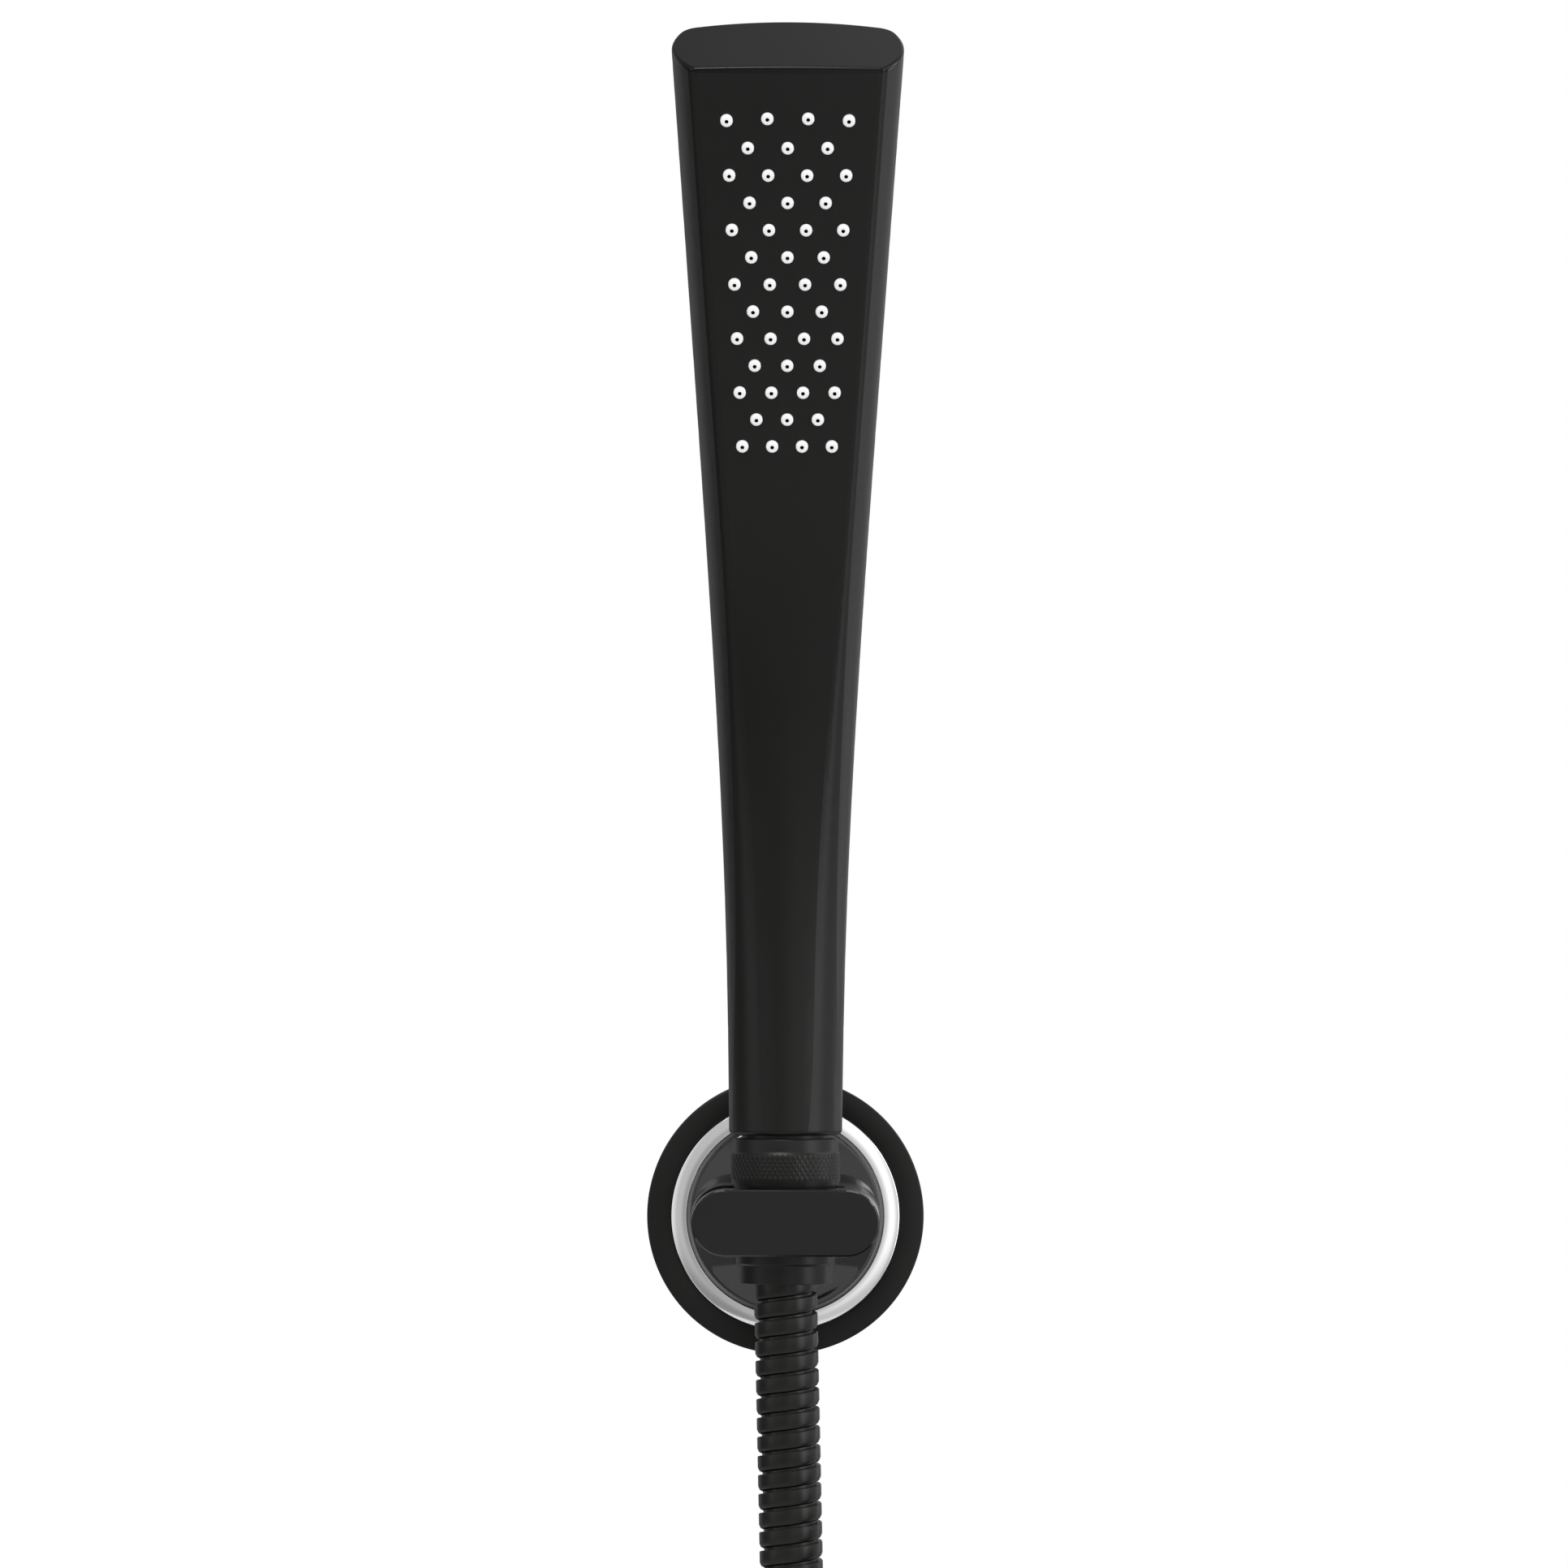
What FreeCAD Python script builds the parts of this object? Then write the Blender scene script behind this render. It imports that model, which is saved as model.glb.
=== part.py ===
"""Handheld shower head with its hose and wall holder.

Millimetres, +Z up. The origin is the centre of the rosette on the wall plane
(Y = 0); the wall is on the +Y side and everything stands out towards -Y.
"""
import math
import os

import FreeCAD
import Part

Vec = FreeCAD.Vector

# ---- driving dimensions: wall mount and holder -------------------------------
WALL_SCREW_PITCH = 34.0        # between the two wall screw holes, along X
WALL_SCREW_HOLE_R = 2.25
ROSETTE_R = 31.45              # outer radius of the cover disc
ROSETTE_FRONT = 8.0            # distance of its front face from the wall
RING_R = 25.95                 # chrome ring, outer radius
RING_BORE_R = 22.35
RING_FRONT = 9.0
RING_SINK = 0.8                # depth of the ring's seat in the cover disc
BRACKET_T = 4.0
GASKET_T = 1.0
GASKET_W = 2.65
DOME_R = 21.55                 # glossy round base of the holder
DOME_RIM_BACK = 7.0
DOME_RIM_FRONT = 9.2
DOME_FRONT = 14.0              # where the domed face crosses the axis
SPINDLE_R = 5.5
SPINDLE_FRONT = 25.0
SPINDLE_TAIL_R = 3.5
SPINDLE_TAIL_BACK = 1.4
GROOVE_R = 4.2
GROOVE_BACK = 18.6
GROOVE_FRONT = 21.8
O_RING_BACK = 10.6             # friction O-ring groove in the spindle
O_RING_R = 1.1
RUNNING_GAP = 0.05             # radial clearance of a turning fit

ARM_FRONT = 60.0               # distance of the pill-shaped front face from the wall
ARM_FRONT_W = 42.1
ARM_FRONT_H = 14.9
ARM_WAIST_W = 42.5             # the arm flares towards its dome from here back
ARM_WAIST_H = 15.9
ARM_WAIST_DEPTH = 21.0
ARM_ROOT_W = 42.9
ARM_ROOT_H = 20.6
ARM_CHAMFER = 0.4
SEAT_DEPTH = 44.0              # distance of the hose nut's axis from the wall
SLOT_W = 15.6                  # side slot that lets the hose out, along Y
LINER_R = 13.4
LINER_HALF_H = 7.3

# ---- driving dimensions: cone nut and hose -----------------------------------
NUT_TOP_Z = 18.6
NUT_BOTTOM_Z = -14.0
NUT_COLLAR_R = 11.8
NUT_STEP_Z = 15.0              # the wider grip band starts below this
NUT_BAND_LOW_Z = 9.4
NUT_BAND_R = 12.4
NUT_FOOT_R = 10.54
SEAT_TOP_R = 11.57             # cone that sits in the holder, at SEAT_TOP_Z
SEAT_TOP_Z = 7.4
SEAT_FOOT_R = 11.05
SEAT_FOOT_Z = -9.8
SEAT_GAP = 0.2
THREAD_R = 10.45               # G 1/2 outside thread, modelled plain
THREAD_BORE_R = 10.53          # its nut, modelled plain
HOSE_D = 14.2
HOSE_LEAN_X = 2.0              # sideways drift of the hanging stretch
COIL_TOP_GAP_Z = -82.0         # the coil stays below this height
COIL_R = 82.0                  # ring radius at the middle of a turn
COIL_TURNS = 2.5
COIL_PITCH = 15.0              # turn to turn, away from the wall
TIE_T = 1.2
TIE_W = 14.0

# ---- driving dimensions: handset ---------------------------------------------
BODY_FOOT_Z = 19.45
LOWER_RUN = 30.0               # straight foot of the handle
BEND_R = 290.0
LEAN_DEG = 24.0                # the head leans forward by this much
HEAD_RUN = 100.35
HEAD_SHAPE_S = 150.0           # from here up the section keeps its head shape
FOOT_BOW_R = 13.6              # near-round foot: bow of its faces and sides
FOOT_CORNER_R = 12.0
FRONT_BOW_R = 460.0            # head: bow of the spray face, back and sides
BACK_BOW_R = 98.0
SIDE_BOW_R = 23.0
FRONT_CORNER_R = 2.6
BACK_CORNER_R = 5.0
WALL_T = 2.4
FOOT_W = 24.02                 # width that the handle tends to at the foot
FLARE_S = 50.0                 # the sides start to spread around here
FLARE_SLOPE = 0.033
FOOT_T = 25.4                  # front-to-back size at the foot
HEAD_T = 28.0                  # and at the head
BOSS_LEN = 20.0                # solid foot that holds the connector
CAP_T = 1.7                    # end cap at the middle of its crown
CAP_ROUND_R = 0.7
CAP_CROWN_R = 420.0
PLUG_LEN = 4.4                 # of the cap's plug inside the shell
NOZZLE_R = 1.36
NOZZLE_HOLE_R = 0.45
NOZZLE_PROUD = 0.9
NOZZLE_ROWS = 13
ROW_PITCH = 6.43
FIRST_ROW_FROM_TOP = 10.9
TOP_SPACING = 8.94             # sideways nozzle spacing in the top row
SPACING_STEP = 0.195           # less in each row below
TOP_ROW_ARCH = 0.45            # the inner pair of the top row sits higher
MAT_T = 1.5
JET_PLATE_T = 1.5

BEND_LEN = BEND_R * math.radians(LEAN_DEG)
SPINE_LEN = LOWER_RUN + BEND_LEN + HEAD_RUN
LEAN = math.radians(LEAN_DEG)
X_AXIS = Vec(1, 0, 0)
Z_AXIS = Vec(0, 0, 1)
NODES = {}


def keep(name, *solids):
    """Remember one node: a single solid, or a group of separate ones."""
    NODES[name] = solids[0] if len(solids) == 1 else Part.makeCompound(list(solids))


# ---- small builders ------------------------------------------------------------
def turned(profile, to_point, base, axis):
    """Solid of revolution from a closed (radius, height) outline."""
    corners = [to_point(r, h) for r, h in profile]
    outline = Part.makePolygon(corners + corners[:1])
    return Part.Face(outline).revolve(base, axis, 360)


def wall_turned(*profile):
    """Turned about the wall normal through the origin; heights run off the wall."""
    return turned(profile, lambda r, h: Vec(r, -h, 0), Vec(0, 0, 0), Vec(0, -1, 0))


def nut_turned(*profile):
    """Turned about the hose nut's upright axis; heights are plain Z."""
    base = Vec(0, -SEAT_DEPTH, 0)
    return turned(profile, lambda r, h: Vec(r, -SEAT_DEPTH, h), base, Z_AXIS)


def tube_profile(r_in, r_out, low, high):
    return (r_in, low), (r_out, low), (r_out, high), (r_in, high)


def rod_profile(r, low, high):
    return (0, low), (r, low), (r, high), (0, high)


def stadium(width, height, depth):
    """Closed pill-shaped wire, `depth` off the wall, long side along X."""
    r = height / 2
    c = width / 2 - r
    y = -depth
    arc_right = Part.Arc(Vec(c, y, -r), Vec(c + r, y, 0), Vec(c, y, r)).toShape()
    arc_left = Part.Arc(Vec(-c, y, r), Vec(-c - r, y, 0), Vec(-c, y, -r)).toShape()
    top = Part.makeLine(Vec(c, y, r), Vec(-c, y, r))
    bottom = Part.makeLine(Vec(-c, y, -r), Vec(c, y, -r))
    return Part.Wire([arc_right, top, arc_left, bottom])


# ---- the handset's spine and sections ------------------------------------------
def spine(s):
    """Point on the handset's centre line and its lean angle, s from the foot."""
    if s <= LOWER_RUN:
        return Vec(0, -SEAT_DEPTH, BODY_FOOT_Z + s), 0.0
    angle = min((s - LOWER_RUN) / BEND_R, LEAN)
    y = -SEAT_DEPTH - BEND_R * (1 - math.cos(angle))
    z = BODY_FOOT_Z + LOWER_RUN + BEND_R * math.sin(angle)
    past = max(s - LOWER_RUN - BEND_LEN, 0.0)
    return Vec(0, y - past * math.sin(angle), z + past * math.cos(angle)), angle


def on_section(s, u, v):
    """Space point at station s, u to the side and v towards the front."""
    centre, angle = spine(s)
    front = Vec(0, -math.cos(angle), -math.sin(angle))
    return centre + X_AXIS * u + front * v


def blend(s, low, high, end):
    """Smooth change from low at the foot to high at station `end`."""
    t = min(max(s / end, 0.0), 1.0)
    return low + (high - low) * t * t * (3 - 2 * t)


def half_width(s):
    past_flare = s - FLARE_S
    return FOOT_W / 2 + FLARE_SLOPE * (past_flare + math.hypot(past_flare, FLARE_S))


def half_depth(s):
    return blend(s, FOOT_T, HEAD_T, 120) / 2


def face_radius(s, head_radius):
    """Bow of a face or side, from the round foot to the flatter head."""
    return 1 / blend(s, 1 / FOOT_BOW_R, 1 / head_radius, HEAD_SHAPE_S)


def corner_between(w, d, side_r, face_r, small_r):
    """Where a corner arc meets the side, its middle, and where it meets the face."""
    side_c = (w - side_r, 0.0)
    face_c = (0.0, d - face_r)
    gap_u, gap_v = face_c[0] - side_c[0], face_c[1] - side_c[1]
    gap = math.hypot(gap_u, gap_v)
    to_side, to_face = side_r - small_r, face_r - small_r
    along = (to_side ** 2 - to_face ** 2 + gap ** 2) / (2 * gap)
    off = math.sqrt(to_side ** 2 - along ** 2)
    centre = (side_c[0] + (along * gap_u - off * gap_v) / gap,
              side_c[1] + (along * gap_v + off * gap_u) / gap)
    meets = []
    for big_c, reach in ((side_c, to_side), (face_c, to_face)):
        meets.append([centre[k] + small_r * (centre[k] - big_c[k]) / reach for k in (0, 1)])
    middle = [meets[0][k] + meets[1][k] - 2 * centre[k] for k in (0, 1)]
    size = math.hypot(*middle)
    return meets[0], [centre[k] + small_r * middle[k] / size for k in (0, 1)], meets[1]


def section(s, inset=0.0, station=None):
    """Outline of the handset at s: two bowed faces, two bowed sides, four corners."""
    w = half_width(s) - inset
    d = half_depth(s) - inset
    side_r = face_radius(s, SIDE_BOW_R) - inset
    halves = []
    for face_sign, bow_r, corner_r in ((1, FRONT_BOW_R, FRONT_CORNER_R),
                                       (-1, BACK_BOW_R, BACK_CORNER_R)):
        small_r = blend(s, FOOT_CORNER_R, corner_r, HEAD_SHAPE_S) - inset
        corner = corner_between(w, d, side_r, face_radius(s, bow_r) - inset, max(small_r, 0.6))
        halves.append([(u, v * face_sign) for u, v in corner] + [(0.0, d * face_sign)])
    place = s if station is None else station

    def arc(*points):
        return Part.Arc(*[on_section(place, u, v) for u, v in points]).toShape()

    def mirrored(points):
        return [(-u, v) for u, v in reversed(points)]

    (f_side, f_mid, f_face, f_top), (b_side, b_mid, b_face, b_top) = halves
    right = [(b_side, (w, 0.0), f_side), (f_side, f_mid, f_face)]
    back_right = (b_face, b_mid, b_side)
    edges = [arc(*points) for points in right]
    edges.append(arc(f_face, f_top, (-f_face[0], f_face[1])))
    edges += [arc(*mirrored(points)) for points in reversed(right)]
    edges.append(arc(*mirrored(back_right)))
    edges.append(arc((-b_face[0], b_face[1]), b_top, b_face))
    edges.append(arc(*back_right))
    return Part.Wire(edges)


def loft(wires, ruled=False):
    return Part.makeLoft(wires, True, ruled)


def head_prism(outline, v_low, v_high):
    """Straight prism in the head: (s, u) outline, between two v levels."""
    corners = [on_section(s, u, v_low) for s, u in outline]
    face = Part.Face(Part.makePolygon(corners + corners[:1]))
    lift = on_section(outline[0][0], 0, v_high) - on_section(outline[0][0], 0, v_low)
    return face.extrude(lift)


def tapered_panel(s_low, s_high, margin, v_low, v_high):
    """Panel that follows the head's taper, `margin` in from its sides."""
    low, high = half_width(s_low) - margin, half_width(s_high) - margin
    outline = ((s_low, -low), (s_low, low), (s_high, high), (s_high, -high))
    return head_prism(outline, v_low, v_high)


def across_head(s, u, r, v_low, v_high):
    """Round bar square to the spray face at (s, u)."""
    start = on_section(s, u, v_low)
    return Part.makeCylinder(r, v_high - v_low, start, on_section(s, u, v_high) - start)


def nozzle_places():
    """(s, u) of each nozzle, from the top row down."""
    places = []
    for row in range(NOZZLE_ROWS):
        s = SPINE_LEN - FIRST_ROW_FROM_TOP - row * ROW_PITCH
        spacing = TOP_SPACING - SPACING_STEP * row
        count = 4 if row % 2 == 0 else 3
        for k in range(count):
            u = (k - (count - 1) / 2) * spacing
            arch = TOP_ROW_ARCH if row == 0 and abs(u) < spacing else 0.0
            places.append((s + arch, u))
    return places


# ---- wall mount ------------------------------------------------------------------
def wall_screw_holes():
    half = WALL_SCREW_PITCH / 2
    start_y = 1.0
    return [Part.makeCylinder(WALL_SCREW_HOLE_R, BRACKET_T + 2, Vec(x, start_y, 0), Vec(0, -1, 0))
            for x in (-half, half)]


GRUB_R = 1.5
GRUB_DEPTH = 3.6               # of the rosette's grub screw, off the wall
BRACKET_R = 27.2
BRACKET_RIM_R = 24.6


def make_wall_bracket():
    rim_front = ROSETTE_FRONT - 2.0
    blank = wall_turned((0, 0), (BRACKET_R, 0), (BRACKET_R, rim_front), (BRACKET_RIM_R, rim_front),
                        (BRACKET_RIM_R, BRACKET_T), (0, BRACKET_T))
    socket = wall_turned(*rod_profile(SPINDLE_TAIL_R, SPINDLE_TAIL_BACK, BRACKET_T + 1))
    grub_hole = Part.makeCylinder(GRUB_R, 6, Vec(0, -GRUB_DEPTH, -23), Vec(0, 0, -1))
    keep("wall_bracket", blank.cut([socket, grub_hole] + wall_screw_holes()))


def make_rosette():
    bevel = 0.5
    skin = 1.6
    front = ROSETTE_FRONT
    plate_back = front - 2.0
    ring_seat = front - RING_SINK
    shell = wall_turned((RING_BORE_R, plate_back), (ROSETTE_R - skin, plate_back),
                        (ROSETTE_R - skin, GASKET_T), (ROSETTE_R, GASKET_T),
                        (ROSETTE_R, front - bevel), (ROSETTE_R - bevel, front),
                        (RING_R, front), (RING_R, ring_seat), (RING_BORE_R, ring_seat))
    grub_hole = Part.makeCylinder(GRUB_R + 0.1, 6, Vec(0, -GRUB_DEPTH, -28), Vec(0, 0, -1))
    keep("rosette", shell.cut(grub_hole))
    gasket_out = ROSETTE_R - 0.4
    keep("wall_gasket", wall_turned(*tube_profile(gasket_out - GASKET_W, gasket_out, 0, GASKET_T)))
    grub = Part.makeCylinder(GRUB_R, 5.4, Vec(0, -GRUB_DEPTH, -25.2), Vec(0, 0, -1))
    hex_socket = Part.makeCylinder(0.8, 1.5, Vec(0, -GRUB_DEPTH, -29.2), Vec(0, 0, -1))
    keep("rosette_grub_screw", grub.cut(hex_socket))
    chamfer = 0.35
    keep("chrome_ring", wall_turned((RING_BORE_R, ring_seat), (RING_R, ring_seat),
                                    (RING_R, RING_FRONT - chamfer), (RING_R - chamfer, RING_FRONT),
                                    (RING_BORE_R + chamfer, RING_FRONT),
                                    (RING_BORE_R, RING_FRONT - chamfer)))


def make_spindle():
    ring_low, ring_high = O_RING_BACK, O_RING_BACK + 2 * O_RING_R
    ring_seat = SPINDLE_R - 2 * O_RING_R + 0.1
    tip = 0.6
    keep("spindle", wall_turned((0, SPINDLE_TAIL_BACK), (SPINDLE_TAIL_R, SPINDLE_TAIL_BACK),
                                (SPINDLE_TAIL_R, BRACKET_T), (SPINDLE_R, BRACKET_T),
                                (SPINDLE_R, ring_low), (ring_seat, ring_low),
                                (ring_seat, ring_high), (SPINDLE_R, ring_high),
                                (SPINDLE_R, GROOVE_BACK), (GROOVE_R, GROOVE_BACK),
                                (GROOVE_R, GROOVE_FRONT), (SPINDLE_R, GROOVE_FRONT),
                                (SPINDLE_R, SPINDLE_FRONT - tip),
                                (SPINDLE_R - tip, SPINDLE_FRONT), (0, SPINDLE_FRONT)))
    squeeze = 0.06
    o_ring = tube_profile(ring_seat, SPINDLE_R, ring_low + squeeze, ring_high - squeeze)
    keep("friction_o_ring", wall_turned(*o_ring))


# ---- holder ----------------------------------------------------------------------
ARM_SCREW_X = 12.5
ARM_SCREW_R = 1.5
ARM_SCREW_HEAD_R = 2.8
ARM_SCREW_END = 26.0
RETAINER_DEPTH = (GROOVE_BACK + GROOVE_FRONT) / 2
RETAINER_R = 1.25


def arm_screw_bars(r, low, high):
    return [Part.makeCylinder(r, high - low, Vec(x, -low, 0), Vec(0, -1, 0))
            for x in (-ARM_SCREW_X, ARM_SCREW_X)]


def make_swivel_dome():
    rim_r = DOME_R - 0.5
    seam_r = SPINDLE_R + RUNNING_GAP
    steps = 10
    rise = DOME_FRONT - DOME_RIM_FRONT
    ball_r = (rim_r ** 2 + rise ** 2) / (2 * rise)
    cap = []
    for k in range(steps + 1):
        r = rim_r + (seam_r - rim_r) * k / steps
        cap.append((r, DOME_FRONT - ball_r + math.sqrt(ball_r ** 2 - r ** 2)))
    blank = wall_turned((seam_r, DOME_RIM_BACK), (DOME_R, DOME_RIM_BACK),
                        (DOME_R, DOME_RIM_FRONT - 0.5), *cap)
    screw_ways = arm_screw_bars(ARM_SCREW_R, DOME_RIM_BACK - 1, DOME_FRONT + 1)
    head_ways = arm_screw_bars(ARM_SCREW_HEAD_R, DOME_RIM_BACK - 1, DOME_RIM_BACK + 2)
    keep("swivel_dome", blank.cut(screw_ways + head_ways))


def make_holder_arm():
    chamfer_width = 2 * ARM_CHAMFER
    root = stadium(ARM_ROOT_W, ARM_ROOT_H, DOME_RIM_BACK)
    waist = stadium(ARM_WAIST_W, ARM_WAIST_H, ARM_WAIST_DEPTH)
    shoulder = stadium(ARM_FRONT_W, ARM_FRONT_H, ARM_FRONT - ARM_CHAMFER)
    face = stadium(ARM_FRONT_W - chamfer_width, ARM_FRONT_H - chamfer_width, ARM_FRONT)
    arm = loft([root, waist, shoulder, face], True)
    reach = 2 * ARM_FRONT
    behind_dome = wall_turned(*rod_profile(DOME_R + 5, 0, DOME_RIM_FRONT))
    spindle_way = wall_turned(*rod_profile(SPINDLE_R + RUNNING_GAP, 0, SPINDLE_FRONT + 0.5))
    bore = nut_turned(*rod_profile(LINER_R, -reach, reach))
    slot = Part.makeBox(reach, SLOT_W, reach, Vec(-reach, -SEAT_DEPTH - SLOT_W / 2, -reach / 2))
    retainer_way = Part.makeCylinder(RETAINER_R, 20, Vec(0, -RETAINER_DEPTH, 0), Vec(0, 0, -1))
    tools = [NODES["swivel_dome"], behind_dome, spindle_way, bore, slot, retainer_way]
    keep("holder_arm", arm.cut(tools + arm_screw_bars(ARM_SCREW_R, 0, ARM_SCREW_END)))
    past = 20.0
    liner_bore = nut_turned((0, -past), (seat_radius(-past) + SEAT_GAP, -past),
                            (seat_radius(past) + SEAT_GAP, past), (0, past))
    liner = nut_turned(*rod_profile(LINER_R, -LINER_HALF_H, LINER_HALF_H)).cut([liner_bore, slot])
    keep("seat_liner", liner)
    screws = []
    shanks = arm_screw_bars(ARM_SCREW_R, DOME_RIM_BACK + 1, ARM_SCREW_END - 0.5)
    heads = arm_screw_bars(ARM_SCREW_HEAD_R, DOME_RIM_BACK + 0.3, DOME_RIM_BACK + 2)
    drives = arm_screw_bars(1.0, DOME_RIM_BACK, DOME_RIM_BACK + 1.3)
    for shank, head, drive in zip(shanks, heads, drives):
        screws.append(shank.fuse(head).cut(drive).removeSplitter())
    keep("arm_screws", *screws)
    point_z = -GROOVE_R - 0.3
    retainer = Part.makeCylinder(RETAINER_R, 2.8, Vec(0, -RETAINER_DEPTH, point_z), Vec(0, 0, -1))
    keep("retaining_screw", retainer)


def seat_radius(z):
    slope = (SEAT_TOP_R - SEAT_FOOT_R) / (SEAT_TOP_Z - SEAT_FOOT_Z)
    return SEAT_FOOT_R + slope * (z - SEAT_FOOT_Z)


# ---- hose end and cone nut ----------------------------------------------------------
COLLAR_R = 9.9
INSERT_FLANGE_R = 9.3
STEM_R = 5.2
SLEEVE_R = 7.5
NUT_THROAT_R = 7.7
NUT_FLOOR_Z = -1.2
FACE_GAP = 0.15
HOSE_START_Z = -13.9


def make_cone_nut():
    lip = 0.3
    keep("cone_nut", nut_turned(
        (THREAD_BORE_R, NUT_TOP_Z), (THREAD_BORE_R, NUT_FLOOR_Z), (NUT_THROAT_R, NUT_FLOOR_Z),
        (NUT_THROAT_R, NUT_BOTTOM_Z), (NUT_FOOT_R - lip, NUT_BOTTOM_Z),
        (NUT_FOOT_R, NUT_BOTTOM_Z + lip),
        (NUT_FOOT_R, SEAT_FOOT_Z), (SEAT_FOOT_R - lip, SEAT_FOOT_Z), (SEAT_FOOT_R, SEAT_FOOT_Z + lip),
        (SEAT_TOP_R, SEAT_TOP_Z), (NUT_BAND_R - 0.4, NUT_BAND_LOW_Z - 0.8),
        (NUT_BAND_R, NUT_BAND_LOW_Z), (NUT_BAND_R, NUT_STEP_Z),
        (NUT_COLLAR_R, NUT_STEP_Z + 0.7),
        (NUT_COLLAR_R, NUT_TOP_Z - lip), (NUT_COLLAR_R - lip, NUT_TOP_Z)))


def make_hose_end():
    keep("inlet_washer", nut_turned(*tube_profile(5.6, INSERT_FLANGE_R, 2.2, 4.0)))
    keep("hose_end_insert", nut_turned(
        (3.5, HOSE_START_Z), (STEM_R, HOSE_START_Z), (STEM_R, -0.3), (INSERT_FLANGE_R, -0.3),
        (INSERT_FLANGE_R, 2.2), (3.5, 2.2)))
    washer_low = NUT_FLOOR_Z + FACE_GAP
    keep("swivel_washer", nut_turned(*tube_profile(SLEEVE_R, INSERT_FLANGE_R, washer_low, -0.3)))
    keep("hose_end_sleeve", nut_turned(*tube_profile(STEM_R, SLEEVE_R, HOSE_START_Z, -0.3)))


def make_inlet_connector():
    foot = NUT_TOP_Z + FACE_GAP
    boss_r = 9.4
    top = BODY_FOOT_Z + 18.0
    blank = nut_turned(
        (5.6, 4.0), (THREAD_R, 4.0), (THREAD_R, foot), (COLLAR_R, foot), (COLLAR_R, BODY_FOOT_Z),
        (boss_r, BODY_FOOT_Z), (boss_r, top), (TUBE_SOCKET_R, top), (TUBE_SOCKET_R, 12.0),
        (7.6, 12.0), (7.6, 8.0), (5.6, 8.0))
    keep("inlet_connector", blank)
    keep("flow_limiter", nut_turned((2.2, 8.4), (7.0, 8.4), (7.6, 9.4), (7.6, 12.0), (2.2, 12.0)))
    mesh_disc = nut_turned(*rod_profile(5.6, 4.6, 5.4))
    holes = []
    for ring, count in ((0.0, 1), (1.8, 6), (3.7, 12)):
        for k in range(count):
            a = 2 * math.pi * k / count
            centre = Vec(ring * math.cos(a), ring * math.sin(a) - SEAT_DEPTH, 4.0)
            holes.append(Part.makeCylinder(0.6, 2, centre))
    keep("inlet_strainer", mesh_disc.cut(holes))


# ---- hose and its put-away coil -------------------------------------------------------
COIL_CENTRE_Z = COIL_TOP_GAP_Z - COIL_R - HOSE_D / 2
COIL_CENTRE_X = HOSE_LEAN_X + COIL_R
COIL_FIRST_Y = -SEAT_DEPTH
COIL_LAST_Y = -SEAT_DEPTH - COIL_TURNS * COIL_PITCH
TAIL_LEN = 50.0                # straight end that rises off the last turn
END_SLEEVE_LEN = 14.0
TUBE_END_RISE = 40.0           # the hanging tube ends inside the coil's solid, above its centre
TIE_ANGLE_DEG = 225.0


def ring_section(grow):
    """Pill-shaped cross-section of the wound turns, in the plane at 3 o'clock."""
    r = HOSE_D / 2 + grow
    x = COIL_CENTRE_X + COIL_R
    z = COIL_CENTRE_Z
    near, far = COIL_FIRST_Y, COIL_LAST_Y
    arcs = [Part.Arc(Vec(x + r, near, z), Vec(x, near + r, z), Vec(x - r, near, z)).toShape(),
            Part.makeLine(Vec(x - r, near, z), Vec(x - r, far, z)),
            Part.Arc(Vec(x - r, far, z), Vec(x, far - r, z), Vec(x + r, far, z)).toShape(),
            Part.makeLine(Vec(x + r, far, z), Vec(x + r, near, z))]
    return Part.Face(Part.Wire(arcs))


def make_hose():
    centre = Vec(COIL_CENTRE_X, 0, COIL_CENTRE_Z)
    coil = ring_section(0).revolve(centre, Vec(0, 1, 0), 360)
    keep("hose_coil", coil)
    start = Vec(0, -SEAT_DEPTH, HOSE_START_Z)
    end = Vec(HOSE_LEAN_X, -SEAT_DEPTH, COIL_CENTRE_Z)
    run = end - start
    tube_len = run.Length - TUBE_END_RISE
    lead = 2.0
    way = Vec(run).normalize()
    tube = Part.makeCylinder(HOSE_D / 2, tube_len + lead, start - way * lead, way)
    above = nut_turned(*rod_profile(HOSE_D, HOSE_START_Z, HOSE_START_Z + HOSE_D))
    keep("hose_tube", tube.cut(above))
    section_area = math.pi * (HOSE_D / 2) ** 2
    print("hose tube: one straight run of", tube_len, "no arcs; volume over section",
          NODES["hose_tube"].Volume / section_area)
    turns_length = COIL_TURNS * math.hypot(2 * math.pi * COIL_R, COIL_PITCH)
    print("hose length", run.Length + turns_length + TAIL_LEN)
    band = ring_section(TIE_T)
    half_angle = math.degrees(TIE_W / 2 / COIL_R)
    y_axis = Vec(0, 1, 0)
    band.rotate(centre, y_axis, -(TIE_ANGLE_DEG - half_angle))
    tie = band.revolve(centre, y_axis, -2 * half_angle).cut(coil)
    keep("hose_tie", tie)


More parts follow.
